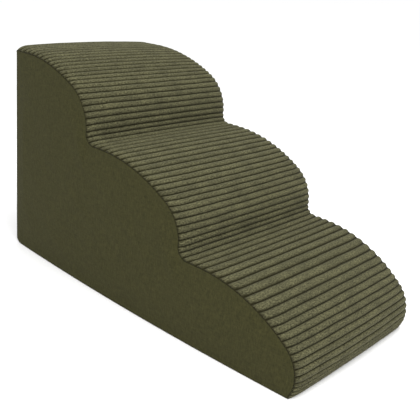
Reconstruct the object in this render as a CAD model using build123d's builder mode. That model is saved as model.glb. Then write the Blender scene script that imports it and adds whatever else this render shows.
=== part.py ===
from build123d import *
from math import asin, atan2, degrees, radians, sin, sqrt
import os

# Foam pet stair with three rounded steps in a zip-off corduroy cover.
# +X runs from the tall back to the toe, +Z is up, and the origin lies on the
# floor under the middle of the whole object. Lengths are in millimetres.

# Steps, measured over the crests of the corduroy along the middle of the width.
# The noses are cut rounder or tighter by the shares, from the top down.
step_count = 3
step_run = 267.0
step_rise = 144.0
plinth_height = 18.0
tread_flat = 30.0
nose_radius = 85.0
nose_radius_shares = (1.09, 1.0, 0.86)
riser_flat = 1.0
corner_radius = 18.0
heel_radius = 18.0
back_edge_radius = 8.0

# The toe bulges a little and tucks back in at the floor, where it ends in a crisp edge
toe_radius = 62.0
toe_tuck = 10.0

# Width at the side seams, and how far the sides bow out at half length
seam_width = 378.0
side_bow = 12.5

# Crown of the soft steps: how much lower the treads and how much further back
# the risers lie at the seams, and the shares of it that each step has, from the top down
crown_drop = 9.5
crown_setback = 7.0
tread_drop_shares = (0.95, 0.45, 0.15)
riser_setback_shares = (0.85, 0.9, 0.7)

# Corduroy: wales on a backing, drawn wide over the treads, closer round the noses,
# in the inside corners and under the toe. Halfway down each bend the pitch is
# a share of the pitch on the treads, from the top down.
wale_height = 2.4
cord_backing = 1.8
tread_pitch = 17.2
nose_pitch = 12.3
corner_pitch = 10.3
toe_pitch = 8.5
bend_pitch_shares = (0.84, 0.94, 1.14)

# Plain cloth, liner and soft foam, and the ease between loose layers
cloth = 1.5
bottom_cloth = 2.0
liner_film = 0.8
comfort_thickness = 25.0
ease = 0.3

# Zip across the back
zip_height = 92.0
zip_margin = 23.0
zip_slot = 12.0
tape_width = 14.0
tape_thickness = 0.6
tape_tail = 10.0
chain_gap = 1.4
coil_width = 2.4
coil_thickness = 2.2
coil_edge_radius = 0.6
stop_length = 3.0
stop_wall = 0.5

# Slider: two plates, flanges and a web between them, and the bail
slider_length = 10.5
slider_nose_width = 9.4
slider_tail_width = 8.2
slider_corner_radius = 1.4
slider_plate = 1.1
slider_play = 0.2
web_length = 3.0
bail_length = 6.8
bail_width = 2.2
bail_thickness = 1.2
bail_window = 2.4

# Pull, whose crossbar lies in the bail
pull_length = 28.0
pull_head_width = 7.0
pull_tail_width = 5.6
pull_thickness = 1.4
pull_crossbar = 1.4
pull_window_length = 4.8
pull_window_width = 3.4
pull_hole_radius = 1.3
pull_corner_radius = 1.2

# Overrun of cutting blocks past what they cut
overrun = 5.0

# Sizes that follow
length = step_count * step_run
height = plinth_height + step_count * step_rise
half_width = seam_width / 2
half_span = half_width + side_bow
toe_rise = sqrt(toe_radius ** 2 - (toe_radius - toe_tuck) ** 2)
cord_inset = wale_height + cord_backing
zip_length = seam_width - 2 * zip_margin
chain_half = chain_gap / 2 + coil_width

# Depths of the zip inwards from the outer face of the back cloth
coil_front = cloth - coil_thickness
outer_plate = coil_front - slider_play - slider_plate
inner_plate = cloth + tape_thickness + slider_play
pull_axis = outer_plate - bail_window / 2
bail_front = outer_plate - bail_window - bail_thickness

# Insets of the layers from the crests, the back, the sides and the floor
panel_insets = (cord_inset + ease, wale_height + cloth, 0, bottom_cloth)
liner_insets = (cord_inset + ease, wale_height + inner_plate + slider_plate + ease, cloth + ease,
                bottom_cloth + ease)
lining_insets = [inset + liner_film for inset in liner_insets]
foam_insets = [inset + ease for inset in lining_insets]
foam_inset, foam_rear, foam_side, foam_floor = foam_insets
core_inset = foam_inset + comfort_thickness

# The bail stands proud of the back, so the steps lie that much off centre
back = -(length + wale_height + bail_front) / 2
toe = back + length
back_face = back + wale_height


def step(number, heel, level, riser, landing, inset, mode):
    """Tread, shallow arc, nose arc and riser of one step, in the plane of a side view.
    The heel is the foot of the step above, and the landing the level of the step below."""
    nose = nose_radius * nose_radius_shares[number] - inset
    corner = corner_radius + inset
    flat_end = heel + corner + tread_flat
    forward = riser - nose - flat_end
    fall = level - landing - riser_flat - corner - nose
    turn = 2 * degrees(atan2(fall, forward))
    tread_radius = nose + forward / sin(radians(turn))
    shallow = JernArc((flat_end, level), (1, 0), tread_radius, -turn, mode=mode)
    front = JernArc(shallow @ 1, shallow % 1, nose, turn - 90, mode=mode)
    return shallow, front


def wave(inset, rear, floor, droop, mode=Mode.ADD):
    """Lines and arcs from the back edge over the steps to the floor, in the plane of a side view.
    They lie inset inside the crests, and droop goes from 0 in mid width to 1 at the widest seam."""
    levels = [height - inset - number * step_rise - crown_drop * share * droop
              for number, share in enumerate(tread_drop_shares)] + [toe_rise - corner_radius - inset]
    risers = [toe - inset - (step_count - 1 - number) * step_run - crown_setback * share * droop
              for number, share in enumerate(riser_setback_shares)]
    edge = back_edge_radius - inset
    path = [JernArc((back + rear, levels[0] - edge), (0, 1), edge, -90, mode=mode)]
    heels = [back - inset] + risers
    for number in range(step_count):
        shallow, front = step(number, heels[number], levels[number], risers[number], levels[number + 1],
                              inset, mode)
        path += [Line(path[-1] @ 1, shallow @ 0, mode=mode), shallow, front]
        if number < step_count - 1:
            landing = levels[number + 1] + corner_radius + inset
            path.append(Line(front @ 1, (risers[number], landing), mode=mode))
            path.append(JernArc(path[-1] @ 1, (0, -1), corner_radius + inset, 90, mode=mode))
    path.append(Line(path[-1] @ 1, (risers[-1], toe_rise), mode=mode))
    toe_turn = degrees(asin((toe_rise - floor) / (toe_radius - inset)))
    path.append(JernArc(path[-1] @ 1, (0, -1), toe_radius - inset, -toe_turn, mode=mode))
    return path


def stations():
    """Places across the width where the lofts have a section, with the droop there."""
    shares = (-1, -0.5, 0, 0.5, 1)
    reach = half_span + overrun
    return [(share * reach, (share * reach / half_span) ** 2) for share in shares]


def side_view(place):
    """Plane of a side view at a place across the width."""
    return Plane.XZ.offset(-place)


def pitch_at(share, pitches):
    """Pitch at a share of a line, between two or three pitches at even steps along it."""
    span = len(pitches) - 1
    number = min(int(share * span), span - 1)
    return pitches[number] + (pitches[number + 1] - pitches[number]) * (share * span - number)


def wale_places():
    """Places of the grooves and the crests in turn, as a line's number in the wave and a share of it.
    The wales are fitted to a whole number."""
    pitches = [(tread_pitch, tread_pitch)]
    for number, share in enumerate(bend_pitch_shares):
        pitches += [(tread_pitch, tread_pitch), (tread_pitch, share * tread_pitch, nose_pitch),
                    (nose_pitch, nose_pitch)]
        if number < step_count - 1:
            pitches += [(nose_pitch, corner_pitch), (corner_pitch, corner_pitch, tread_pitch)]
    pitches += [(nose_pitch, toe_pitch), (toe_pitch, toe_pitch)]
    lengths = [line.length for line in wave(wale_height, wale_height, 0, 0, Mode.PRIVATE)]
    parts = 400
    counted = 0
    counts = []
    for number, (line_length, line_pitches) in enumerate(zip(lengths, pitches)):
        for part in range(1, parts + 1):
            counted += line_length / parts / pitch_at(part / parts, line_pitches)
            counts.append((counted, number, part / parts))
    half_wales = 2 * round(counted)
    places = [(0, 0)]
    for reached, number, share in counts:
        if len(places) < half_wales and reached >= counted * len(places) / half_wales:
            places.append((number, share))
    return places + [(len(lengths) - 1, 1)]


def plan(side_inset):
    """Outline seen from above, with its bowed sides, inset from the seams."""
    with BuildSketch(Plane.XY.offset(-overrun)) as outline:
        with BuildLine():
            edge = half_width - side_inset
            left = ThreePointArc((back, -edge), ((back + toe) / 2, -edge - side_bow), (toe, -edge))
            Line(left @ 1, (toe + overrun, -edge))
            Line((toe + overrun, -edge), (toe + overrun, edge))
            Line((toe + overrun, edge), (toe, edge))
            right = ThreePointArc((toe, edge), ((back + toe) / 2, edge + side_bow), (back, edge))
            Line(right @ 1, left @ 0)
        make_face()
    return outline.sketch


def stair_sections(insets):
    """Side views of the whole stair at each station, inset from the outside of the cover."""
    inset, rear, side_inset, floor = insets
    sections = []
    for place, droop in stations():
        with BuildSketch(side_view(place)) as section:
            with BuildLine():
                path = wave(inset, rear, floor, droop)
                heel = heel_radius + wale_height - rear
                Line(path[-1] @ 1, (back + rear + heel, floor))
                Line((back + rear, floor + heel), path[0] @ 0)
                JernArc((back + rear + heel, floor), (-1, 0), heel, -90)
            make_face()
        sections.append(section.sketch)
    return sections


def save(piece, name):
    piece.part.label = name
    export_step(piece.part, f"parts/{name}.step")


os.makedirs("parts", exist_ok=True)
full_height = height + 2 * overrun

# Corduroy from the back edge over the three steps and under the toe. Each
# wale is an arc from groove to groove over its crest, on a smooth backing.
places = wale_places()
with BuildPart() as tread_panel:
    for place, droop in stations():
        with BuildSketch(side_view(place)):
            with BuildLine():
                crest = wave(0, 0, 0, droop, Mode.PRIVATE)
                groove = wave(wale_height, wale_height, 0, droop, Mode.PRIVATE)
                points = [(groove, crest)[number % 2][line] @ share
                          for number, (line, share) in enumerate(places)]
                for start, top, end in zip(points[::2], points[1::2], points[2::2]):
                    ThreePointArc(start, top, end)
                backing = wave(cord_inset, cord_inset, 0, droop)
                Line(points[0], backing[0] @ 0)
                Line(points[-1], backing[-1] @ 1)
            make_face()
    loft(ruled=True)
    extrude(plan(0), amount=full_height, mode=Mode.INTERSECT)
    split(bisect_by=Plane.XY, keep=Keep.TOP)
save(tread_panel, "tread_panel")

# Plain woven sides, sewn to the corduroy along the wave
for name, side in (("left_side_panel", -1), ("right_side_panel", 1)):
    with BuildPart() as side_panel:
        loft(stair_sections(panel_insets), ruled=True)
        extrude(plan(0), amount=full_height, mode=Mode.INTERSECT)
        extrude(plan(cloth), amount=full_height, mode=Mode.SUBTRACT)
        split(bisect_by=Plane.XZ, keep=Keep.TOP if side < 0 else Keep.BOTTOM)
    save(side_panel, name)

# Back cloth, folded in along the zip: the lower panel wraps round the heel
with BuildSketch(Plane.YZ.offset(back_face - overrun)) as zip_gap:
    with Locations((0, zip_height)):
        SlotOverall(zip_length + zip_slot, zip_slot)
with BuildPart() as back_panel_upper:
    top = height - back_edge_radius - ease
    with BuildSketch(Plane.YZ.offset(back_face)):
        with BuildLine():
            crown = Polyline(*[(place, top - crown_drop * tread_drop_shares[0] * droop)
                               for place, droop in stations()])
            Polyline(crown @ 1, (half_span + overrun, zip_height), (-half_span - overrun, zip_height), crown @ 0)
        make_face()
    extrude(amount=cloth)
    extrude(plan(0), amount=full_height, mode=Mode.INTERSECT)
    extrude(zip_gap.sketch, amount=2 * overrun, mode=Mode.SUBTRACT)
save(back_panel_upper, "back_panel_upper")

with BuildPart() as back_panel_lower:
    with BuildSketch(Plane.XZ):
        with BuildLine() as fold:
            JernArc((back_face + heel_radius, 0), (-1, 0), heel_radius, -90)
            Line((back_face, heel_radius), (back_face, zip_height))
            offset(amount=cloth, side=Side.RIGHT)
        make_face()
    extrude(amount=half_span, both=True)
    extrude(plan(0), amount=full_height, mode=Mode.INTERSECT)
    extrude(zip_gap.sketch, amount=2 * overrun, mode=Mode.SUBTRACT)
save(back_panel_lower, "back_panel_lower")

# Non-slip bottom cloth, whose front edge meets the corduroy under the toe
with BuildPart() as bottom_panel:
    sole_front = toe - toe_radius + sqrt((toe_radius - cord_inset) ** 2 - toe_rise ** 2) - ease
    with BuildSketch():
        with BuildLine():
            edge = Polyline(*[(sole_front - crown_setback * riser_setback_shares[-1] * droop, place)
                              for place, droop in stations()])
            Polyline(edge @ 1, (back_face + heel_radius, half_span + overrun),
                     (back_face + heel_radius, -half_span - overrun), edge @ 0)
        make_face()
    extrude(amount=bottom_cloth)
    extrude(plan(0), amount=full_height, mode=Mode.INTERSECT)
save(bottom_panel, "bottom_panel")

# Thin bag round the foam, closed all round
with BuildPart() as inner_liner:
    loft(stair_sections(liner_insets), ruled=True)
    extrude(plan(liner_insets[2]), amount=full_height, mode=Mode.INTERSECT)
with BuildPart() as bag_hollow:
    loft(stair_sections(lining_insets), ruled=True)
    extrude(plan(lining_insets[2]), amount=full_height, mode=Mode.INTERSECT)
with inner_liner:
    add(bag_hollow, mode=Mode.SUBTRACT)
save(inner_liner, "inner_liner")

# Firm foam: three slabs with rounded noses, glued one on another
core_levels = [height - core_inset - number * step_rise for number in range(step_count)] + [foam_floor]
core_risers = [toe - core_inset - (step_count - 1 - number) * step_run for number in range(step_count)]
core_heels = [back - core_inset] + core_risers
core_landings = core_levels[:-1] + [toe_rise - corner_radius - core_inset]


def slab_front(number):
    """Top and front of one slab, in the plane of a side view, from where the foam above it ends."""
    shallow, front = step(number, core_heels[number], core_levels[number], core_risers[number],
                          core_landings[number + 1], core_inset, Mode.ADD)
    start = back + foam_rear if number == 0 else core_risers[number - 1]
    Line((start, core_levels[number]), shallow @ 0)
    Line(front @ 1, (core_risers[number], core_levels[number + 1]))


for number, name in enumerate(("foam_slab_top", "foam_slab_middle", "foam_slab_low")):
    with BuildPart() as slab:
        with BuildSketch(Plane.XZ):
            with BuildLine():
                slab_front(number)
                if number:
                    Line((core_risers[number - 1], core_levels[number]), (back + foam_rear, core_levels[number]))
                Line((back + foam_rear, core_levels[number]), (back + foam_rear, core_levels[number + 1]))
                Line((back + foam_rear, core_levels[number + 1]), (core_risers[number], core_levels[number + 1]))
            make_face()
        extrude(amount=half_span, both=True)
        extrude(plan(foam_side), amount=full_height, mode=Mode.INTERSECT)
        if name == "foam_slab_low":
            fillet(slab.edges().filter_by(Axis.Y).group_by(Axis.Z)[0].sort_by(Axis.X)[0], heel_radius)
    save(slab, name)

# Soft foam glued over the slabs, crowned across the treads
with BuildPart() as comfort_foam:
    for place, droop in stations():
        with BuildSketch(side_view(place)):
            with BuildLine():
                path = wave(foam_inset, foam_rear, foam_floor, droop)
                for number in range(step_count):
                    slab_front(number)
                Line((back + foam_rear, core_levels[0]), path[0] @ 0)
                Line(path[-1] @ 1, (core_risers[-1], foam_floor))
            make_face()
    loft(ruled=True)
    extrude(plan(foam_side), amount=full_height, mode=Mode.INTERSECT)
save(comfort_foam, "comfort_foam")

# Zip: a tape sewn behind each edge of the opening, with its row of coil in front
for name, side in (("upper", 1), ("lower", -1)):
    align = (Align.CENTER, Align.MIN if side > 0 else Align.MAX)
    with BuildPart() as tape:
        with BuildSketch(Plane.YZ.offset(back_face + cloth)):
            with Locations((0, zip_height + side * chain_gap / 2)):
                Rectangle(zip_length + 2 * tape_tail, tape_width, align=align)
        extrude(amount=tape_thickness)
    save(tape, f"zip_tape_{name}")
    with BuildPart() as coil:
        with BuildSketch(Plane.YZ.offset(back_face + coil_front)):
            with Locations((0, zip_height + side * chain_gap / 2)):
                Rectangle(zip_length - 2 * stop_wall, coil_width, align=align)
        extrude(amount=coil_thickness)
        fillet(coil.faces().sort_by(Axis.X)[0].edges().filter_by(Axis.Y), coil_edge_radius)
    save(coil, f"zip_coil_{name}")

# Clips over both ends of the chain
for name, side in (("zip_top_stop", 1), ("zip_bottom_stop", -1)):
    with BuildPart() as stop:
        with BuildSketch(Plane.YZ.offset(back_face + coil_front - stop_wall)):
            with Locations((side * (zip_length - stop_length) / 2, zip_height)):
                Rectangle(stop_length, 2 * (chain_half + stop_wall))
        extrude(amount=stop_wall + coil_thickness)
        with BuildSketch(Plane.YZ.offset(back_face + coil_front)):
            with Locations((side * (zip_length / 2 - stop_wall - stop_length), zip_height)):
                Rectangle(2 * stop_length, 2 * chain_half)
        extrude(amount=coil_thickness, mode=Mode.SUBTRACT)
    save(stop, name)

# Slider at the closed end of the chain, its nose against the stop
slider_place = zip_length / 2 - stop_length - slider_play - slider_length / 2
channel_half = chain_half + slider_play
with BuildSketch(Plane.YZ) as slider_outline:
    with BuildLine():
        Polyline((slider_place + slider_length / 2, zip_height - slider_nose_width / 2),
                 (slider_place + slider_length / 2, zip_height + slider_nose_width / 2),
                 (slider_place - slider_length / 2, zip_height + slider_tail_width / 2),
                 (slider_place - slider_length / 2, zip_height - slider_tail_width / 2), close=True)
    make_face()
    fillet(slider_outline.vertices(), slider_corner_radius)
with BuildPart() as zip_slider:
    with BuildSketch(Plane.YZ.offset(back_face + outer_plate)):
        add(slider_outline.sketch_local)
    extrude(amount=cloth - slider_play - outer_plate)
    with BuildSketch(Plane.YZ.offset(back_face + outer_plate + slider_plate)):
        with Locations((slider_place, zip_height)):
            Rectangle(slider_length, 2 * channel_half)
    extrude(amount=coil_thickness + slider_play, mode=Mode.SUBTRACT)
    with BuildSketch(Plane.YZ.offset(back_face + inner_plate)):
        add(slider_outline.sketch_local)
    extrude(amount=slider_plate)
    with BuildSketch(Plane.YZ.offset(back_face + outer_plate + slider_plate)):
        with Locations((slider_place + slider_length / 2 - slider_corner_radius - web_length / 2, zip_height)):
            SlotOverall(web_length, chain_gap - 2 * slider_play)
    extrude(amount=inner_plate - outer_plate - slider_plate)
    with BuildSketch(Plane.XY.offset(zip_height)):
        with Locations((back_face + outer_plate, slider_place)):
            Rectangle(bail_window + bail_thickness, bail_length, align=(Align.MAX, Align.CENTER))
            Rectangle(bail_window, bail_length - 2 * bail_thickness, align=(Align.MAX, Align.CENTER),
                      mode=Mode.SUBTRACT)
    extrude(amount=bail_width / 2, both=True)
    fillet(zip_slider.edges().filter_by(Axis.Z).group_by(Axis.X)[0], bail_thickness / 2)
save(zip_slider, "zip_slider")

# Pull, lying along the chain: its crossbar passes through the bail
pull_end = slider_place + pull_crossbar / 2
with BuildPart() as zip_pull:
    with BuildSketch(Plane.YZ.offset(back_face + pull_axis - pull_thickness / 2)) as pull_outline:
        with BuildLine():
            Polyline((pull_end, zip_height - pull_head_width / 2), (pull_end, zip_height + pull_head_width / 2),
                     (pull_end - pull_length, zip_height + pull_tail_width / 2),
                     (pull_end - pull_length, zip_height - pull_tail_width / 2), close=True)
        make_face()
        fillet(pull_outline.vertices(), pull_corner_radius)
        with Locations((slider_place - pull_crossbar / 2, zip_height)):
            Rectangle(pull_window_length, pull_window_width, align=(Align.MAX, Align.CENTER), mode=Mode.SUBTRACT)
        with Locations((pull_end - pull_length + pull_tail_width / 2, zip_height)):
            Circle(pull_hole_radius, mode=Mode.SUBTRACT)
    extrude(amount=pull_thickness)
save(zip_pull, "zip_pull")
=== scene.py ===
import math

import bmesh
import bpy
import numpy as np
from mathutils import Matrix, Vector


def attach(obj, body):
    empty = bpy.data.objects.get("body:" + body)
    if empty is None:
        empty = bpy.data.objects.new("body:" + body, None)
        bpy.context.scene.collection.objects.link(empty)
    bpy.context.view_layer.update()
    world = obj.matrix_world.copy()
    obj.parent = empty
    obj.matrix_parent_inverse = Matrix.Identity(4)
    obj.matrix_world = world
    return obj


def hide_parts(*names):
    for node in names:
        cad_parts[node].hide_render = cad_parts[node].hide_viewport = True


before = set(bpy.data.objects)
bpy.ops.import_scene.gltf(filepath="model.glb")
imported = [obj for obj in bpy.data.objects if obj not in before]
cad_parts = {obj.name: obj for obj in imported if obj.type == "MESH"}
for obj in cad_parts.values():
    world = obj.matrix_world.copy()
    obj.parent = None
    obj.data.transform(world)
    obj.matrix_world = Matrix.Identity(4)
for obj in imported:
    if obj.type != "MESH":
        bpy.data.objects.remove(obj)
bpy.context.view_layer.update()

mm = 0.001

# Camera
# It looks down on the toe and the left side, leaning a little, through a short
# telephoto lens.
pitch, roll, yaw = 0.35361, 0.10231, -0.70571
camera_place = (0.8817, -1.0112, 0.6621)
forward = np.array([math.sin(yaw) * math.cos(pitch), math.cos(yaw) * math.cos(pitch), -math.sin(pitch)])
level = np.array([math.cos(yaw), -math.sin(yaw), 0.0])
upright = np.cross(level, forward)
across = math.cos(roll) * level + math.sin(roll) * upright
upward = -math.sin(roll) * level + math.cos(roll) * upright
camera_data = bpy.data.cameras.new("camera")
camera_data.sensor_width = 36.0
camera_data.lens = 58.86
camera = bpy.data.objects.new("camera", camera_data)
bpy.context.collection.objects.link(camera)
turn = Matrix((across, upward, -forward)).transposed().to_4x4()
camera.matrix_world = Matrix.Translation(camera_place) @ turn
bpy.context.scene.camera = camera

# Foam core and its liner
# Three slabs of firm polyurethane foam are sawn to shape and glued one on
# another, and a soft sheet is glued over the treads. A thin bag keeps them dry.


def linear(code):
    """An sRGB hex colour as the linear colour that a shader takes."""
    channels = [int(code[n:n + 2], 16) / 255 for n in (1, 3, 5)]
    return tuple(c / 12.92 if c <= 0.04045 else ((c + 0.055) / 1.055) ** 2.4 for c in channels) + (1.0,)


def add_node(tree, kind, inputs=(), **settings):
    """One shader node with its settings, its values and what its sockets are linked to."""
    node = tree.nodes.new(kind)
    for key, value in settings.items():
        setattr(node, key, value)
    for key, value in dict(inputs).items():
        if isinstance(value, bpy.types.NodeSocket):
            tree.links.new(value, node.inputs[key])
        else:
            node.inputs[key].default_value = value
    return node


def new_material(name, roughness):
    material = bpy.data.materials.new(name)
    material.use_nodes = True
    shader = material.node_tree.nodes["Principled BSDF"]
    shader.inputs["Roughness"].default_value = roughness
    return material, material.node_tree, shader


def dress(name, material):
    """A material for a CAD node that stays."""
    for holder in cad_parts[name].material_slots:
        holder.material = material


# Open-cell foam: matt, with cut cells about 1 mm across, drawn twice as wide to show
cell_width = 2.0 * mm
foams = {"firm": ("#c9c9c4", "#b4b4ae"), "soft": ("#e0dac2", "#cdc6aa")}
for kind, (pale, dark) in foams.items():
    material, tree, shader = new_material(f"{kind} open-cell polyurethane foam, sawn", 0.95)
    place = add_node(tree, "ShaderNodeTexCoord")
    cells = add_node(tree, "ShaderNodeTexVoronoi", {"Vector": place.outputs["Object"],
                                                    "Scale": 1 / cell_width})
    tone = add_node(tree, "ShaderNodeMix", {0: cells.outputs["Distance"], 6: linear(pale), 7: linear(dark)},
                    data_type="RGBA")
    bump = add_node(tree, "ShaderNodeBump", {"Height": cells.outputs["Distance"], "Strength": 0.5,
                                             "Distance": 0.5 * mm})
    tree.links.new(tone.outputs[2], shader.inputs["Base Color"])
    tree.links.new(bump.outputs["Normal"], shader.inputs["Normal"])
    foams[kind] = material
for name in ("foam_slab_top", "foam_slab_middle", "foam_slab_low"):
    dress(name, foams["firm"])
dress("comfort_foam", foams["soft"])

# Spun-bonded polypropylene: white and a little glossy, pressed with a fine point pattern
# that is drawn coarser, so that it shows
liner_material, tree, shader = new_material("spun-bonded polypropylene", 0.6)
point_spacing = 2.5 * mm
place = add_node(tree, "ShaderNodeTexCoord")
points = add_node(tree, "ShaderNodeTexVoronoi", {"Vector": place.outputs["Object"],
                                                 "Scale": 1 / point_spacing, "Randomness": 0.15})
tone = add_node(tree, "ShaderNodeMix", {0: points.outputs["Distance"], 6: linear("#cfcfcb"),
                                        7: linear("#e6e6e2")}, data_type="RGBA")
bump = add_node(tree, "ShaderNodeBump", {"Height": points.outputs["Distance"], "Strength": 0.4,
                                         "Distance": 0.2 * mm})
tree.links.new(tone.outputs[2], shader.inputs["Base Color"])
tree.links.new(bump.outputs["Normal"], shader.inputs["Normal"])
dress("inner_liner", liner_material)

# Corduroy panel
# One length of wide-wale corduroy is drawn over the soft foam from the back edge
# over the three steps to the floor. It is sewn to the plain sides along the wave,
# where each wale ends in a rounded tip that curls into the seam.
step_count, step_run, step_rise, plinth = 3, 267.0, 144.0, 18.0
tread_flat, nose_radius, riser_flat = 30.0, 85.0, 1.0
nose_radius_shares = (1.09, 1.0, 0.86)
corner_radius, back_edge_radius = 18.0, 8.0
toe_radius, toe_tuck = 62.0, 10.0
seam_width, side_bow = 378.0, 12.5
crown_drop, crown_setback = 9.5, 7.0
tread_drop_shares, riser_setback_shares = (0.95, 0.45, 0.15), (0.85, 0.9, 0.7)
tread_pitch, nose_pitch, corner_pitch, toe_pitch = 17.2, 12.3, 10.3, 8.5
bend_pitch_shares = (0.84, 0.94, 1.14)
wale_height = 2.4
length = step_count * step_run
height = plinth + step_count * step_rise
back = -398.9
toe = back + length
toe_rise = math.sqrt(toe_radius ** 2 - (toe_radius - toe_tuck) ** 2)
half_span = seam_width / 2 + side_bow


def wave(droop):
    """Lines and arcs of the crests in a side view, each as a function of the share along it
    that gives the point and the outward normal, and each one's length on the ground cloth."""
    levels = [height - number * step_rise - crown_drop * share * droop
              for number, share in enumerate(tread_drop_shares)] + [toe_rise - corner_radius]
    risers = [toe - (step_count - 1 - number) * step_run - crown_setback * share * droop
              for number, share in enumerate(riser_setback_shares)]
    pieces = []

    def arc(centre, radius, start, sweep):
        outward = 1 if sweep < 0 else -1

        def at(share):
            angle = np.radians(start + sweep * share)
            ray = np.stack([np.cos(angle), np.sin(angle)], -1)
            return np.array(centre) + radius * ray, outward * ray
        pieces.append((at, abs(math.radians(sweep)) * (radius - outward * wale_height)))

    def line(start, end):
        along = np.array(end) - np.array(start)
        reach = float(np.hypot(*along))
        normal = np.array([-along[1], along[0]]) / reach

        def at(share):
            share = np.asarray(share)[..., None]
            return np.array(start) + along * share, np.broadcast_to(normal, share.shape[:-1] + (2,))
        pieces.append((at, reach))

    arc((back + back_edge_radius, levels[0] - back_edge_radius), back_edge_radius, 180, -90)
    start = (back + back_edge_radius, levels[0])
    heels = [back] + risers
    for number in range(step_count):
        nose = nose_radius * nose_radius_shares[number]
        flat_end = heels[number] + corner_radius + tread_flat
        ahead = risers[number] - nose - flat_end
        nose_foot = levels[number + 1] + corner_radius + riser_flat
        bend = 2 * math.degrees(math.atan2(levels[number] - nose_foot - nose, ahead))
        shallow = nose + ahead / math.sin(math.radians(bend))
        line(start, (flat_end, levels[number]))
        arc((flat_end, levels[number] - shallow), shallow, 90, -bend)
        arc((risers[number] - nose, nose_foot), nose, 90 - bend, bend - 90)
        line((risers[number], nose_foot), (risers[number], nose_foot - riser_flat))
        if number < step_count - 1:
            start = (risers[number] + corner_radius, levels[number + 1])
            arc((start[0], start[1] + corner_radius), corner_radius, 180, 90)
    toe_turn = math.degrees(math.asin(toe_rise / toe_radius))
    arc((risers[-1] - toe_radius, toe_rise), toe_radius, 0, -toe_turn)
    return pieces


def on_wave(droop, places):
    """Points and normals at places given as a line's number plus the share along it."""
    pieces = wave(droop)
    number = np.minimum(places.astype(int), len(pieces) - 1)
    points, normals = np.zeros((len(places), 2)), np.zeros((len(places), 2))
    for n, (at, _) in enumerate(pieces):
        here = number == n
        points[here], normals[here] = at(places[here] - n)
    return points, normals


# Pitches at even steps along each line, and from them the count of wales passed
pitches = [(tread_pitch, tread_pitch)]
for number, share in enumerate(bend_pitch_shares):
    pitches += [(tread_pitch, tread_pitch), (tread_pitch, share * tread_pitch, nose_pitch),
                (nose_pitch, nose_pitch)]
    if number < step_count - 1:
        pitches += [(nose_pitch, corner_pitch), (corner_pitch, corner_pitch, tread_pitch)]
pitches += [(nose_pitch, toe_pitch), (toe_pitch, toe_pitch)]
line_steps = 400
share = (np.arange(line_steps) + 1) / line_steps
counts = [0.0]
for (_, reach), line_pitches in zip(wave(0), pitches):
    pitch_there = np.interp(share, np.linspace(0, 1, len(line_pitches)), line_pitches)
    counts.extend(counts[-1] + np.cumsum(reach / line_steps / pitch_there))
counts = np.array(counts)
wales = round(counts[-1])
counts *= wales / counts[-1]

# Rows of vertices stand close beside a groove and wide over a crest
row_shares = np.array([0, 0.035, 0.08, 0.15, 0.27, 0.42, 0.58, 0.73, 0.85, 0.92, 0.965])
rows = np.append((np.arange(wales)[:, None] + row_shares).ravel(), wales)


def half_width(x):
    """Half the width at the seam, which bows out between the back and the toe."""
    along = np.clip((x - back) / length, 0, 1)
    return seam_width / 2 + side_bow * 4 * along * (1 - along)


wander_waves, wander_step, wander_peak = 5, 0.6, 2.6
wander_mixes = ((12.9, 3.1), (78.2, 3.1), (37.7, 6.3))


def wander(a, b, seed):
    """Slow unevenness between about -1 and 1, as sewn and stuffed cloth has, from a few crossing
    waves whose directions follow from the seed."""
    total = 0
    for n in range(wander_waves):
        p, q, r = [math.sin((seed * 7 + n) * mix) * size for mix, size in wander_mixes]
        total = total + np.sin((1 + n * wander_step) * (a * p + b * q) + r)
    return total / wander_peak


# Rounded ends of the wales: distance in from the side, which starts under the side cloth's
# turned edge, and share of the depth of the seam
tip_profile = [(1.2, 1.0), (0.5, 0.84), (0.2, 0.7), (0.5, 0.55), (1.2, 0.41), (2.3, 0.28), (3.8, 0.17),
               (5.8, 0.08), (8.5, 0.02), (12, 0), (16, 0), (21, 0), (27, 0), (36, 0), (48, 0)]
middle_shares = np.linspace(-1, 1, 19)[1:-1]
curl_reach, curl_share, curl_power = 28.0, 0.5, 2.0
seam_depth, tip_shade_power = 3.4, 1.3

# The pile makes the crests stand up, and the slits between them end above the liner
dome_depth, slit_depth, slit_floor, pile_stand = 2.0, 2.2, 4.2, 1.2
slit_power, tip_slit_power, tip_reach = 6.0, 2.1, 14.0
flat_shade_share, flat_from = 0.45, 0.8
cord_thickness = 0.6

# Unevenness of the wales' courses and of how full they are: size, change from wale to
# wale, and length across
sway, sway_rate, sway_length = 0.025, 0.4, 40.0
fullness_change, fullness_rate, fullness_length = 0.15, 1.7, 50.0

# The back corners sink a little, and the toe arches out in the middle
corner_drop, corner_reach = 4.5, 90.0
toe_bulge = 4.5
row_places = np.interp(rows, counts, np.arange(len(counts)) / line_steps)
row_spans = half_width(on_wave(0, row_places)[0][:, 0])


def droop_at(y, span):
    """How far the crown has come down at a distance across the width, with the curl at the seam."""
    curl = np.clip(1 - (span - np.abs(y)) / curl_reach, 0, 1) ** curl_power
    return (1 - curl_share) * (y / half_span) ** 2 + curl_share * curl


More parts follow.
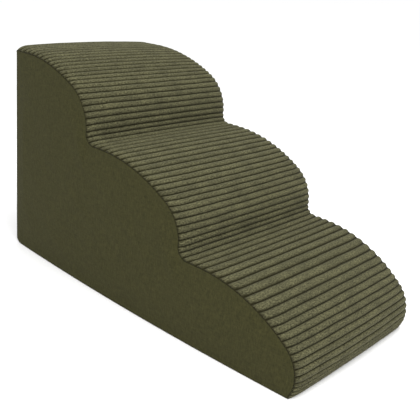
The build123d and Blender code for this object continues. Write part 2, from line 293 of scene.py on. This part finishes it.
def cord_line(y, tip_share, reach_in):
    """One line of vertices from the back edge to the floor, and how dark each of them is drawn: the bare
    ground weave deep in a groove, painted shade widened over the wales' flanks on the flat treads, and
    painted shade in the seam at the wales' tips.
    """
    held_ends = np.clip(rows, 0, 1) * np.clip(wales - rows, 0, 1)
    swayed = rows + held_ends * sway * wander(rows * sway_rate, y / sway_length, 1)
    places = np.interp(swayed, counts, np.arange(len(counts)) / line_steps)
    low, low_normals = on_wave(0, places)
    high, high_normals = on_wave(1, places)
    droop = droop_at(y, row_spans)[:, None]
    points = low + (high - low) * droop
    normals = low_normals + (high_normals - low_normals) * droop
    normals /= np.linalg.norm(normals, axis=1)[:, None]
    nearness = np.abs(2 * (rows % 1.0) - 1)
    power = tip_slit_power + (slit_power - tip_slit_power) * min(reach_in / tip_reach, 1)
    slit = nearness ** power
    # Painted shade: on the flat treads the dark ramp into each slit reaches further over the near flank,
    # where shade falls.
    flatness = np.clip((normals[:, 1] - flat_from) / (1 - flat_from), 0, 1)
    shade = nearness ** (power * (1 - flat_shade_share * flatness))
    fullness = 1 + fullness_change * wander(np.floor(rows) * fullness_rate, y / fullness_length, 3)
    relief = dome_depth * nearness ** 2 + slit_depth * slit - pile_stand * (1 - nearness ** 2)
    depth = relief * fullness * math.sqrt(1 - tip_share)
    depth = np.minimum(depth + seam_depth * tip_share, slit_floor) * np.clip(2 * (wales - rows), 0, 1)
    drop = corner_drop * droop[:, 0] ** 2 * np.clip(1 - (low[:, 0] - back) / corner_reach, 0, 1) ** 2
    in_toe = low[:, 0] > toe - step_run + corner_radius + tread_flat
    rise = np.clip(low[:, 1] / toe_rise, 0, 1) ** 2
    bulge = toe_bulge * in_toe * rise * np.clip(normals[:, 0], 0, 1) * (1 - (y / row_spans) ** 2)
    out = points + normals * (bulge - depth)[:, None]
    out[:, 1] -= np.minimum(drop, slit_floor - depth)
    line = np.stack([out[:, 0], y, np.maximum(out[:, 1], 0)], -1)
    # Painted shade: the wales' tips are darkened into the seam crease.
    return line, np.maximum(shade, tip_share ** tip_shade_power)


inner = tip_profile[-1][0]
cord_lines = [cord_line(distance - row_spans, tip_share, distance) for distance, tip_share in tip_profile]
cord_lines += [cord_line((row_spans - inner) * share, 0, inner) for share in middle_shares]
cord_lines += [cord_line(row_spans - distance, tip_share, distance)
               for distance, tip_share in tip_profile[::-1]]
cord_surface = np.array([line for line, _ in cord_lines])
groove_shades = np.array([slit for _, slit in cord_lines])


def flat_grid(name, surface):
    """A flat grid, and for each of its vertices the line and the row of a surface that it stands for."""
    across_count, along_count = surface.shape[:2]
    shell = bmesh.new()
    bmesh.ops.create_grid(shell, x_segments=along_count - 1, y_segments=across_count - 1, size=0.5)
    mesh = bpy.data.meshes.new(name)
    shell.to_mesh(mesh)
    shell.free()
    flat = np.zeros(len(mesh.vertices) * 3, np.float32)
    mesh.vertices.foreach_get("co", flat)
    row = np.rint((flat[0::3] + 0.5) * (along_count - 1)).astype(int)
    line = np.rint((flat[1::3] + 0.5) * (across_count - 1)).astype(int)
    return mesh, line, row


def grid_piece(name, surface, thickness, marks=(), cloth_map=None):
    """A piece of cloth from a flat grid whose vertices move to the places of a surface, given in mm.
    Marks are attributes by name, and the cloth map is the place on the flat cloth."""
    mesh, line, row = flat_grid(name, surface)
    mesh.vertices.foreach_set("co", (surface[line, row] * mm).astype(np.float32).ravel())
    for mark, values in dict(marks).items():
        attribute = mesh.attributes.new(mark, "FLOAT", "POINT")
        attribute.data.foreach_set("value", values[line, row].astype(np.float32))
    if cloth_map is not None:
        corners = np.zeros(len(mesh.loops), np.int32)
        mesh.loops.foreach_get("vertex_index", corners)
        layer = mesh.uv_layers.new(name="cloth")
        layer.data.foreach_set("uv", (cloth_map[line, row][corners] * mm).astype(np.float32).ravel())
    mesh.shade_smooth()
    mesh.update()
    piece = bpy.data.objects.new(name, mesh)
    bpy.context.collection.objects.link(piece)
    solid = piece.modifiers.new("cloth thickness", "SOLIDIFY")
    solid.thickness = thickness * mm
    solid.offset = -1
    return piece


crest_points = on_wave(0, row_places)[0]
along_cloth = np.concatenate([[0], np.cumsum(np.hypot(*np.diff(crest_points, axis=0).T))])
cloth_map = np.stack([cord_surface[:, :, 1], np.broadcast_to(along_cloth, cord_surface.shape[:2])], -1)
wale_numbers = np.broadcast_to(rows, cord_surface.shape[:2])
cord = grid_piece("cord_cover", cord_surface, cord_thickness, {"slit": groove_shades, "wale": wale_numbers},
                  cloth_map)

# Cut pile: soft, matt and finely speckled, paler where the pile catches light along
# its tips and dark in the slits, where the ground weave lies bare, with painted shade over the wales' flanks
# on the flat treads and in the seam at their tips. Its tufts, about 1 mm across, are drawn twice as coarse,
# so that they show.
cord_material, tree, shader = new_material("cotton-polyester corduroy, cut pile, piece-dyed", 0.95)
tuft_length, tuft_width, nap_patch = 4.2 * mm, 2.2 * mm, 34 * mm
place = add_node(tree, "ShaderNodeUVMap", uv_map="cloth")
stretch = add_node(tree, "ShaderNodeMapping", {"Vector": place.outputs["UV"],
                                               "Scale": (1 / tuft_length, 1 / tuft_width, 1)})
speckle = add_node(tree, "ShaderNodeTexNoise", {"Vector": stretch.outputs["Vector"], "Scale": 1.0,
                                                "Detail": 3.0, "Roughness": 0.7})
spread = add_node(tree, "ShaderNodeMapRange", {"Value": speckle.outputs["Fac"], "From Min": 0.38,
                                               "From Max": 0.63})
patches = add_node(tree, "ShaderNodeTexNoise", {"Vector": place.outputs["UV"], "Scale": 1 / nap_patch,
                                                "Detail": 2.0})
nap = add_node(tree, "ShaderNodeMapRange", {"Value": patches.outputs["Fac"], "From Min": 0.3,
                                            "From Max": 0.7, "To Min": 0.82, "To Max": 1.16})
wale = add_node(tree, "ShaderNodeAttribute", attribute_name="wale")
whole = add_node(tree, "ShaderNodeMath", {0: wale.outputs["Fac"]}, operation="FLOOR")
chance = add_node(tree, "ShaderNodeTexWhiteNoise", {"W": whole.outputs["Value"]}, noise_dimensions="1D")
lot = add_node(tree, "ShaderNodeMapRange", {"Value": chance.outputs["Value"], "To Min": 0.94,
                                            "To Max": 1.06})
tuft = add_node(tree, "ShaderNodeMix", {0: spread.outputs["Result"], 6: linear("#2c2b19"),
                                        7: linear("#5d5b41")}, data_type="RGBA")
lightness = add_node(tree, "ShaderNodeMath", {0: nap.outputs["Result"], 1: lot.outputs["Result"]},
                     operation="MULTIPLY")
pile = add_node(tree, "ShaderNodeVectorMath", {0: tuft.outputs[2], "Scale": lightness.outputs["Value"]},
                operation="SCALE")
# The slit mark darkens the pile towards #1f1d08: the bare ground weave in the grooves, and painted shade on
# the flat treads' flanks and at the seam.
groove_shade_mark = add_node(tree, "ShaderNodeAttribute", attribute_name="slit")
bare_ground_and_shade = add_node(tree, "ShaderNodeMapRange", {"Value": groove_shade_mark.outputs["Fac"], "From Min": 0.08,
                                             "From Max": 0.65})
tone = add_node(tree, "ShaderNodeMix", {0: bare_ground_and_shade.outputs["Result"], 6: pile.outputs["Vector"],
                                        7: linear("#1f1d08")}, data_type="RGBA")
bump = add_node(tree, "ShaderNodeBump", {"Height": speckle.outputs["Fac"], "Strength": 0.5,
                                         "Distance": 0.6 * mm})
tree.links.new(tone.outputs[2], shader.inputs["Base Color"])
tree.links.new(bump.outputs["Normal"], shader.inputs["Normal"])
shader.inputs["Specular IOR Level"].default_value = 0.2
shader.inputs["Sheen Weight"].default_value = 0.08
shader.inputs["Sheen Roughness"].default_value = 0.4
shader.inputs["Sheen Tint"].default_value = linear("#d8d6bb")
cord.data.materials.append(cord_material)
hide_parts("tread_panel")
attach(cord, "stair")

# Side panels
# Tightly woven plain cloth is cut to the wave and sewn to the corduroy with its
# edge turned in. The foam inside bows it out a little.
heel_radius, roll_reach, seam_tuck, seam_shade_reach = 18.0, 3.5, 1.6, 1.3
side_thickness = 0.9
slack, slack_length, slack_reach = 0.5, 55.0, 30.0
least_column, back_edge_points = 0.15, 400
swell_spacing, swell_pressure, swell_limit, swell_frames = 10.0, 4.0, 4.0, 20
up_shares = np.concatenate([[0, 0.003, 0.008, 0.015, 0.03], np.linspace(0.06, 0.92, 34),
                            [0.95, 0.97, 0.982, 0.99, 0.995, 0.998, 1]])


def weave_material(name, colours, slub_length, slub_width):
    """Plain weave: matt, even, with fine uneven threads both ways that leave faint streaks. It gets painted
    shade in the creases of the seams. The threads, about 0.5 mm, are drawn coarser, so that they show."""
    material, tree, shader = new_material(name, 0.9)
    place = add_node(tree, "ShaderNodeTexCoord")
    streaks = []
    for level_width, upright_width in ((slub_width, slub_length), (slub_length, slub_width)):
        scale = (1 / level_width, 1 / level_width, 1 / upright_width)
        stretch = add_node(tree, "ShaderNodeMapping", {"Vector": place.outputs["Object"], "Scale": scale})
        noise = add_node(tree, "ShaderNodeTexNoise", {"Vector": stretch.outputs["Vector"], "Scale": 1.0,
                                                      "Detail": 4.0, "Roughness": 0.65})
        streaks.append(noise.outputs["Fac"])
    both = add_node(tree, "ShaderNodeMix", {0: 0.4, 2: streaks[0], 3: streaks[1]})
    spread = add_node(tree, "ShaderNodeMapRange", {"Value": both.outputs[0], "From Min": 0.35,
                                                   "From Max": 0.65})
    tone = add_node(tree, "ShaderNodeMix", {0: spread.outputs["Result"], 6: linear(colours[0]),
                                            7: linear(colours[1])}, data_type="RGBA")
    # Painted shade: near its seams the cloth is drawn towards #15130a, where the crease lies in shade.
    painted_seam_shade = add_node(tree, "ShaderNodeAttribute", attribute_name="painted_seam_shade")
    shaded_tone = add_node(tree, "ShaderNodeMix", {0: painted_seam_shade.outputs["Fac"], 6: tone.outputs[2],
                                            7: linear("#15130a")}, data_type="RGBA")
    bump = add_node(tree, "ShaderNodeBump", {"Height": both.outputs[0], "Strength": 0.35,
                                             "Distance": 0.4 * mm})
    tree.links.new(shaded_tone.outputs[2], shader.inputs["Base Color"])
    tree.links.new(bump.outputs["Normal"], shader.inputs["Normal"])
    shader.inputs["Specular IOR Level"].default_value = 0.2
    return material


plain_material = weave_material("polyester plain weave, piece-dyed", ("#28270f", "#3b391c"),
                                slub_length=9 * mm, slub_width=2.4 * mm)


def roll_in(distance, reach, tuck):
    """How far cloth turns in towards a seam at a distance from it."""
    return tuck * (1 - np.sqrt(1 - np.clip(1 - distance / reach, 0, 1) ** 2))


def seam_shade_at(distance):
    """How much painted shade cloth gets at a distance from its seam, where the crease lies in shade."""
    return np.clip(1 - distance / seam_shade_reach, 0, 1)


def thin_out(stations, least):
    """Numbers of stations at least a distance apart, with the first and the last."""
    kept = [0]
    for n, station in enumerate(stations):
        if station - stations[kept[-1]] >= least and stations[-1] - station >= least / 2:
            kept.append(n)
    return np.array(kept + [len(stations) - 1])


def swell(surface):
    """A panel as the pressure of the foam behind it bulges it between its seams, by a cloth simulation.
    A coarse copy is held along its edges, and the panel takes over how far it has moved."""
    stations = [np.concatenate([[0], np.cumsum(np.linalg.norm(np.diff(line, axis=0), axis=1))])
                for line in (surface[:, surface.shape[1] // 2], surface[surface.shape[0] // 2])]
    lines, rows_kept = [thin_out(ones, swell_spacing) for ones in stations]
    rest = surface[np.ix_(lines, rows_kept)]
    mesh, line, row = flat_grid("swelling_panel", rest)
    vertices = (rest[line, row] * mm).astype(np.float32)
    mesh.vertices.foreach_set("co", vertices.ravel())
    mesh.update()
    coarse = bpy.data.objects.new("swelling_panel", mesh)
    bpy.context.collection.objects.link(coarse)
    edge = (line == 0) | (line == len(lines) - 1) | (row == 0) | (row == len(rows_kept) - 1)
    coarse.vertex_groups.new(name="seams").add([int(n) for n in np.flatnonzero(edge)], 1.0, "REPLACE")
    cloth = coarse.modifiers.new("swelling", "CLOTH")
    cloth.settings.vertex_group_mass = "seams"
    cloth.settings.use_pressure = True
    cloth.settings.uniform_pressure_force = swell_pressure
    cloth.settings.effector_weights.gravity = 0
    cloth.point_cache.frame_start, cloth.point_cache.frame_end = 1, swell_frames
    for frame_number in range(1, swell_frames + 1):
        bpy.context.scene.frame_set(frame_number)
    swollen = coarse.evaluated_get(bpy.context.evaluated_depsgraph_get()).data
    ended = np.zeros_like(vertices).ravel()
    swollen.vertices.foreach_get("co", ended)
    moved = np.zeros(rest.shape)
    moved[line, row] = (ended.reshape(-1, 3) - vertices) / mm
    reach = np.linalg.norm(moved, axis=-1)
    moved *= (np.minimum(reach, swell_limit) / np.maximum(reach, 1e-6))[..., None]
    bpy.data.objects.remove(coarse)
    bpy.context.scene.frame_set(1)
    across_stations, along_stations = stations
    wide = np.array([[np.interp(along_stations, along_stations[rows_kept], part) for part in one.T]
                     for one in moved])
    full = np.array([[np.interp(across_stations, across_stations[lines], wide[:, k, n]) for k in range(3)]
                     for n in range(wide.shape[2])])
    return surface + full.transpose(2, 0, 1)


for name, seam in (("left_side", cord_surface[0]), ("right_side", cord_surface[-1])):
    front = int(np.argmax(seam[:, 0]))
    kept = [0]
    for row in range(1, front + 1):
        if seam[row, 0] - seam[kept[-1], 0] >= least_column:
            kept.append(row)
    columns, highest = seam[kept, 0], seam[kept, 2]
    under = seam[front:][::-1]
    heel_centre = back + wale_height + heel_radius
    ahead = np.clip(heel_centre - columns, 0, heel_radius)
    lowest = heel_radius - np.sqrt(heel_radius ** 2 - ahead ** 2)
    tucked = columns > under[0, 0]
    lowest[tucked] = np.interp(columns[tucked], under[:, 0], under[:, 2])
    x = np.broadcast_to(columns, (len(up_shares), len(columns)))
    z = lowest + (highest - lowest) * up_shares[:, None]
    back_edge = np.linspace(lowest[0], highest[0], back_edge_points)
    outline = np.concatenate([seam[:, [0, 2]], np.stack([columns, lowest], -1),
                              np.stack([np.full(back_edge_points, columns[0]), back_edge], -1)])
    distance = np.array([[np.hypot(*(outline - (px, pz)).T).min() for px, pz in zip(*pair)]
                         for pair in zip(x, z)])
    loose = slack * wander(x / slack_length, z / slack_length, 5) * np.clip(distance / slack_reach, 0, 1)
    y = (half_width(x) - roll_in(distance, roll_reach, seam_tuck) + loose) * np.sign(seam[0, 1])
    # Painted shade along the seams, by distance from the panel's outline.
    surface, painted_seam_shade = np.stack([x, y, z], -1), seam_shade_at(distance)
    if name == "right_side":
        surface, painted_seam_shade = surface[::-1], painted_seam_shade[::-1]
    piece = grid_piece(name + "_cover", swell(surface), side_thickness, {"painted_seam_shade": painted_seam_shade})
    piece.data.materials.append(plain_material)
    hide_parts(name + "_panel")
    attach(piece, "stair")

# Back panels
# The same plain cloth closes the back, cut in two along the zip. Both edges are
# folded in along its opening, and the lower panel wraps round the heel to the floor.
back_face = back + wale_height
zip_height, zip_length, zip_slot = 92.0, seam_width - 46.0, 12.0
fold_reach, fold_tuck, back_thickness = 1.6, 1.5, 1.2
stitch_inset, stitch_dip, dip_width = 3.5, 0.25, 0.7
top_lap = 0.5
side_edge = seam_width / 2 - 1.2
slot_end = zip_length / 2 + zip_slot / 2
half_columns = np.concatenate([np.linspace(0, zip_length / 2 - 4, 27),
                               zip_length / 2 + np.linspace(-2, 5, 9),
                               slot_end - np.array([0.5, 0.2, 0]), slot_end + np.array([0.4, 1.5, 4, 7]),
                               side_edge - np.array([3.4, 2.6, 1.8, 1.0, 0.4, 0])])
across_back = np.concatenate([half_columns[:0:-1], -half_columns])
past_zip = np.clip(np.abs(across_back) - zip_length / 2, 0, zip_slot / 2)
slot_half = np.sqrt((zip_slot / 2) ** 2 - past_zip ** 2)
fold_steps = np.array([0, 0.25, 0.55, 0.9, 1.3, 1.8, 2.6, 3.5, 4.4, 6.0])


def back_depth(y, to_fold):
    """How far in from the back's face its cloth lies, at a distance from the folded edge."""
    dip = stitch_dip * np.exp(-((to_fold - stitch_inset) / dip_width) ** 2)
    side = roll_in(side_edge - np.abs(y), roll_reach, seam_tuck)
    return roll_in(to_fold, fold_reach, fold_tuck) + dip + side


back_tops = np.interp(across_back, cord_surface[:, 0, 1], cord_surface[:, 0, 2]) + top_lap
shares_up = np.linspace(0, 1, 30)[1:, None]
foot = zip_height + slot_half
start = foot + fold_steps[-1]
z = np.concatenate([foot + fold_steps[:, None], start + (back_tops - roll_reach - start) * shares_up,
                    back_tops - np.array([2.6, 1.8, 1.1, 0.5, 0])[:, None]])
y = np.broadcast_to(across_back, z.shape)
x = back_face + back_depth(y, z - foot) + roll_in(back_tops - z, roll_reach, seam_tuck)
# Painted shade along the zip fold, the top seam and the side seams.
edges = np.minimum(np.minimum(z - foot, back_tops - z), side_edge - np.abs(y))
upper = grid_piece("back_upper_cover", swell(np.stack([x, y, z], -1)), back_thickness,
                   {"painted_seam_shade": seam_shade_at(edges)})

# The lower panel's lines run from under the heel up to the fold
heel_steps = 13
heel_turns = np.linspace(-90, 0, heel_steps)
heel_x = back_face + heel_radius * (1 - np.cos(np.radians(heel_turns)))
heel_z = heel_radius * (1 + np.sin(np.radians(heel_turns)))
top = zip_height - slot_half
above = heel_radius + (top - fold_steps[-1] - heel_radius) * np.linspace(0, 1, 12)[1:, None]
round_heel = np.broadcast_to(np.stack([heel_x, heel_z])[:, :, None], (2, heel_steps, len(top)))
z = np.concatenate([round_heel[1], above, top - fold_steps[-2::-1, None]])
y = np.broadcast_to(across_back, z.shape)
x = np.concatenate([round_heel[0], np.full((len(z) - heel_steps, len(top)), back_face)])
x = x + back_depth(y, top - z)
# Painted shade along the zip fold and the side seams.
edges = np.minimum(top - z, side_edge - np.abs(y))
lower = grid_piece("back_lower_cover", np.stack([x, y, z], -1), back_thickness, {"painted_seam_shade": seam_shade_at(edges)})
for piece, node, flat_height in ((upper, "back_panel_upper", 0.352), (lower, "back_panel_lower", 0.104)):
    piece.data.materials.append(plain_material)
    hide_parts(node)
    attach(piece, "stair")

# Topstitching round the zip: spun polyester thread, two plies twisted, 3.2 mm stitches
stitch_length, stitch_pitch, thread_width, thread_sink, ply_pitch = 3.2, 3.8, 0.8, 0.05, 2.0 * mm
thread_material, tree, shader = new_material("spun polyester thread, two plies twisted", 0.8)
place = add_node(tree, "ShaderNodeTexCoord")
plies = add_node(tree, "ShaderNodeTexWave", {"Vector": place.outputs["Object"], "Scale": 1 / ply_pitch,
                                             "Distortion": 1.0}, bands_direction="DIAGONAL")
tone = add_node(tree, "ShaderNodeMix", {0: plies.outputs["Fac"], 6: linear("#2b2a16"),
                                        7: linear("#4a4830")}, data_type="RGBA")
bump = add_node(tree, "ShaderNodeBump", {"Height": plies.outputs["Fac"], "Strength": 0.5,
                                         "Distance": 0.2 * mm})
tree.links.new(tone.outputs[2], shader.inputs["Base Color"])
tree.links.new(bump.outputs["Normal"], shader.inputs["Normal"])


def mesh_piece(name, shell, material):
    """A small piece from its bmesh."""
    mesh = bpy.data.meshes.new(name)
    shell.to_mesh(mesh)
    shell.free()
    mesh.shade_smooth()
    mesh.materials.append(material)
    piece = bpy.data.objects.new(name, mesh)
    bpy.context.collection.objects.link(piece)
    return piece


stitches = bmesh.new()
round_radius = zip_slot / 2 + stitch_inset
straight, bend_length = zip_length, math.pi * round_radius
stitch_count = round(2 * (straight + bend_length) / stitch_pitch)
for number in range(stitch_count):
    along = number * 2 * (straight + bend_length) / stitch_count
    side, along = (1, along) if along < straight + bend_length else (-1, along - straight - bend_length)
    if along < straight:
        y, z, lean = along - straight / 2, round_radius, 0.0
    else:
        lean = (along - straight) / round_radius
        y, z = straight / 2 + round_radius * math.sin(lean), round_radius * math.cos(lean)
    spot = Matrix.Translation(((back_face - thread_sink) * mm, side * y * mm, (zip_height + side * z) * mm))
    shape = Matrix.Diagonal((thread_width * mm, stitch_length * mm, thread_width * mm, 1))
    bmesh.ops.create_uvsphere(stitches, u_segments=6, v_segments=5, radius=0.5,
                              matrix=spot @ Matrix.Rotation(-lean, 4, "X") @ shape)
piece = mesh_piece("zip_topstitching", stitches, thread_material)
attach(piece, "stair")

# Zip
# A spiral zip lies across the back: two woven tapes sewn behind the folded edges,
# each with a spiral of stiff thread whose turns lock into the other's, two end clips,
# and a die-cast slider whose pull hangs on a bail.
cloth, tape_thickness, tape_width, chain_gap = 1.5, 0.6, 14.0, 1.4
tape_tail, tape_play, tape_ripple, ripple_length = 10.0, 0.1, 0.05, 6.0
gap_end, gap_taper, end_gap_share = 3.0, 4.0, 0.1
turn_pitch, turn_width, turn_reach, turn_overlap, coil_depth, coil_end = 1.4, 0.8, 3.1, 0.35, 2.2, 0.5

# Polyester tape: matt and closely woven, with its threads drawn coarser too
tape_material = weave_material("polyester zip tape, narrow-woven", ("#262513", "#34321d"),
                               slub_length=12 * mm, slub_width=1.0 * mm)


def repeat(piece, count, step):
    """A piece repeated along a line, a step in mm from one to the next."""
    row = piece.modifiers.new("repeat", "ARRAY")
    row.count = count
    row.use_relative_offset = False
    row.use_constant_offset = True
    row.constant_offset_displace = [part * mm for part in step]


# Polyester monofilament, pressed into turns: hard, smooth and a little glossy
spiral_material, tree, shader = new_material("polyester monofilament, heat-set", 0.38)
place = add_node(tree, "ShaderNodeTexCoord")
cloudy = add_node(tree, "ShaderNodeTexNoise", {"Vector": place.outputs["Object"], "Scale": 1 / (6 * mm),
                                               "Detail": 2.0})
tone = add_node(tree, "ShaderNodeMix", {0: cloudy.outputs["Fac"], 6: linear("#33311c"),
                                        7: linear("#47452c")}, data_type="RGBA")
tree.links.new(tone.outputs[2], shader.inputs["Base Color"])

for name, side in (("upper", 1), ("lower", -1)):
    half_tape = zip_length / 2 + tape_tail
    y, share = np.meshgrid(np.linspace(half_tape, -half_tape, 90), np.linspace(0, 1, 12)[::side])
    closing = np.clip((zip_length / 2 + gap_end - np.abs(y)) / gap_taper, end_gap_share, 1)
    gap = chain_gap / 2 * closing
    z = zip_height + side * (gap + tape_width * share)
    x = back_face + cloth + tape_ripple * wander(y / ripple_length, z / ripple_length, 7)
    piece = grid_piece(f"zip_tape_{name}_woven", np.stack([x, y, z], -1), tape_thickness - tape_play)
    piece.data.materials.append(tape_material)
    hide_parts(f"zip_tape_{name}")
    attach(piece, "stair")

    half_coil = zip_length / 2 - coil_end
    first = half_coil - turn_width / 2 - (0.5 if side > 0 else 0) * turn_pitch
    middle = zip_height + side * (turn_reach - turn_overlap) / 2
    turn = bmesh.new()
    shape = Matrix.Diagonal((coil_depth * mm, turn_width * mm, (turn_reach + turn_overlap) * mm, 1))
    spot = Matrix.Translation(((back_face + cloth - coil_depth / 2) * mm, first * mm, middle * mm))
    bmesh.ops.create_uvsphere(turn, u_segments=8, v_segments=4, radius=0.5, matrix=spot @ shape)
    piece = mesh_piece(f"zip_coil_{name}_turns", turn, spiral_material)
    repeat(piece, int(2 * half_coil / turn_pitch) - 1, (0, -turn_pitch, 0))
    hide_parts(f"zip_coil_{name}")
    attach(piece, "stair")

# Zinc alloy, die-cast, tumbled and lacquered olive: satin, with faint flow marks
zinc_material, tree, shader = new_material("zinc alloy, die-cast and lacquered", 0.42)
place = add_node(tree, "ShaderNodeTexCoord")
flow = add_node(tree, "ShaderNodeTexNoise", {"Vector": place.outputs["Object"], "Scale": 1 / (3 * mm),
                                             "Detail": 3.0})
tone = add_node(tree, "ShaderNodeMix", {0: flow.outputs["Fac"], 6: linear("#3a3824"), 7: linear("#504d36")},
                data_type="RGBA")
gloss = add_node(tree, "ShaderNodeMapRange", {"Value": flow.outputs["Fac"], "To Min": 0.34, "To Max": 0.52})
bump = add_node(tree, "ShaderNodeBump", {"Height": flow.outputs["Fac"], "Strength": 0.2,
                                         "Distance": 0.1 * mm})
tree.links.new(tone.outputs[2], shader.inputs["Base Color"])
tree.links.new(gloss.outputs["Result"], shader.inputs["Roughness"])
tree.links.new(bump.outputs["Normal"], shader.inputs["Normal"])
shader.inputs["Metallic"].default_value = 0.35
for name in ("zip_top_stop", "zip_bottom_stop", "zip_slider", "zip_pull"):
    dress(name, zinc_material)

# Bottom
# A tough flat cloth with rubbery dots stops the stairs sliding. It is sewn in
# along the sides, at the heel and under the toe.
cloth_height, bottom_thickness, bottom_tuck, bottom_roll = 0.8, 1.0, 1.2, 2.5
toe_inset, heel_inset, side_inset, inner_inset = 0.6, 0.3, 0.8, 4.0
edge_steps = np.array([0, 0.3, 0.8, 1.6, 2.8])
edge_shares = np.array([1, 0.998, 0.993, 0.985])
line_shares = np.concatenate([edge_shares, np.linspace(0.97, -0.97, 33), -edge_shares[::-1]])[:, None]
even_shares = np.linspace(1, -1, 41)
toe_places = np.interp(even_shares * side_edge, cord_surface[:, -1, 1], cord_surface[:, -1, 0]) - toe_inset
toe_edge = np.interp(line_shares, even_shares[::-1], toe_places[::-1])
heel_edge = back_face + heel_radius + heel_inset
inner_steps = inner_inset + (toe_edge - heel_edge - 2 * inner_inset) * np.linspace(0, 1, 60)
x = np.concatenate([np.broadcast_to(heel_edge + edge_steps, (len(toe_edge), len(edge_steps))),
                    heel_edge + inner_steps, toe_edge - edge_steps[::-1]], axis=1)
half = half_width(x) - side_inset
y = line_shares * half
to_edge = np.minimum(np.minimum(x - x[:, :1], x[:, -1:] - x), half - np.abs(y))
z = cloth_height + roll_in(to_edge, bottom_roll, bottom_tuck)
# Painted shade along the seams all round the bottom.
bottom = grid_piece("bottom_cover", np.stack([x, y, z], -1), bottom_thickness, {"painted_seam_shade": seam_shade_at(to_edge)})
bottom_material = weave_material("polyester base cloth, plain weave", ("#191917", "#242421"),
                                 slub_length=20 * mm, slub_width=1.4 * mm)
bottom.data.materials.append(bottom_material)
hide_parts("bottom_panel")
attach(bottom, "stair")

# Plastisol dots, printed on and cured: matt, rubbery black
dot_width, dot_spacing, dot_margin = 2.6, 12.0, 10.0
dot_material, tree, shader = new_material("PVC plastisol, printed and cured", 0.55)
place = add_node(tree, "ShaderNodeTexCoord")
dull = add_node(tree, "ShaderNodeTexNoise", {"Vector": place.outputs["Object"], "Scale": 1 / (4 * mm),
                                             "Detail": 2.0})
tone = add_node(tree, "ShaderNodeMix", {0: dull.outputs["Fac"], 6: linear("#121211"), 7: linear("#20201e")},
                data_type="RGBA")
tree.links.new(tone.outputs[2], shader.inputs["Base Color"])
dot = bmesh.new()
dots_across = 2 * math.floor((seam_width / 2 - dot_margin) / dot_spacing) + 1
dots_along = int((toe_edge.min() - heel_edge - 2 * dot_margin) / dot_spacing)
first_dot = (heel_edge + dot_spacing, -(dots_across - 1) / 2 * dot_spacing, cloth_height)
spot = Matrix.Translation([part * mm for part in first_dot])
shape = Matrix.Diagonal((dot_width * mm, dot_width * mm, 2 * cloth_height * mm, 1))
bmesh.ops.create_uvsphere(dot, u_segments=6, v_segments=4, radius=0.5, matrix=spot @ shape)
piece = mesh_piece("bottom_dots", dot, dot_material)
repeat(piece, dots_along, (dot_spacing, 0, 0))
repeat(piece, dots_across, (0, dot_spacing, 0))
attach(piece, "stair")

# Studio
# White paper lies under the stairs. A wide lamp lights them from above, and bright
# surroundings light them evenly from all round.
floor_mesh = bpy.data.meshes.new("studio_floor")
shell = bmesh.new()
bmesh.ops.create_grid(shell, x_segments=1, y_segments=1, size=30.0)
shell.to_mesh(floor_mesh)
shell.free()
floor = bpy.data.objects.new("studio_floor", floor_mesh)
bpy.context.collection.objects.link(floor)
floor_material, tree, shader = new_material("studio paper", 1.0)
shader.inputs["Base Color"].default_value = linear("#fafafa")
shader.inputs["Specular IOR Level"].default_value = 0.0
floor.data.materials.append(floor_material)

world = bpy.data.worlds.new("studio")
world.use_nodes = True
world.node_tree.nodes["Background"].inputs["Color"].default_value = (1, 1, 1, 1)
world.node_tree.nodes["Background"].inputs["Strength"].default_value = 1.05
bpy.context.scene.world = world
bpy.context.scene.view_settings.view_transform = "Standard"

lamp_data = bpy.data.lights.new("overhead", "AREA")
lamp_data.energy = 45
lamp_data.size = 2.0
lamp = bpy.data.objects.new("overhead", lamp_data)
lamp.location = (0.9, -0.5, 2.0)
lamp.rotation_euler = Vector((-0.9, 0.5, -1.8)).to_track_quat("-Z", "Y").to_euler()
bpy.context.collection.objects.link(lamp)
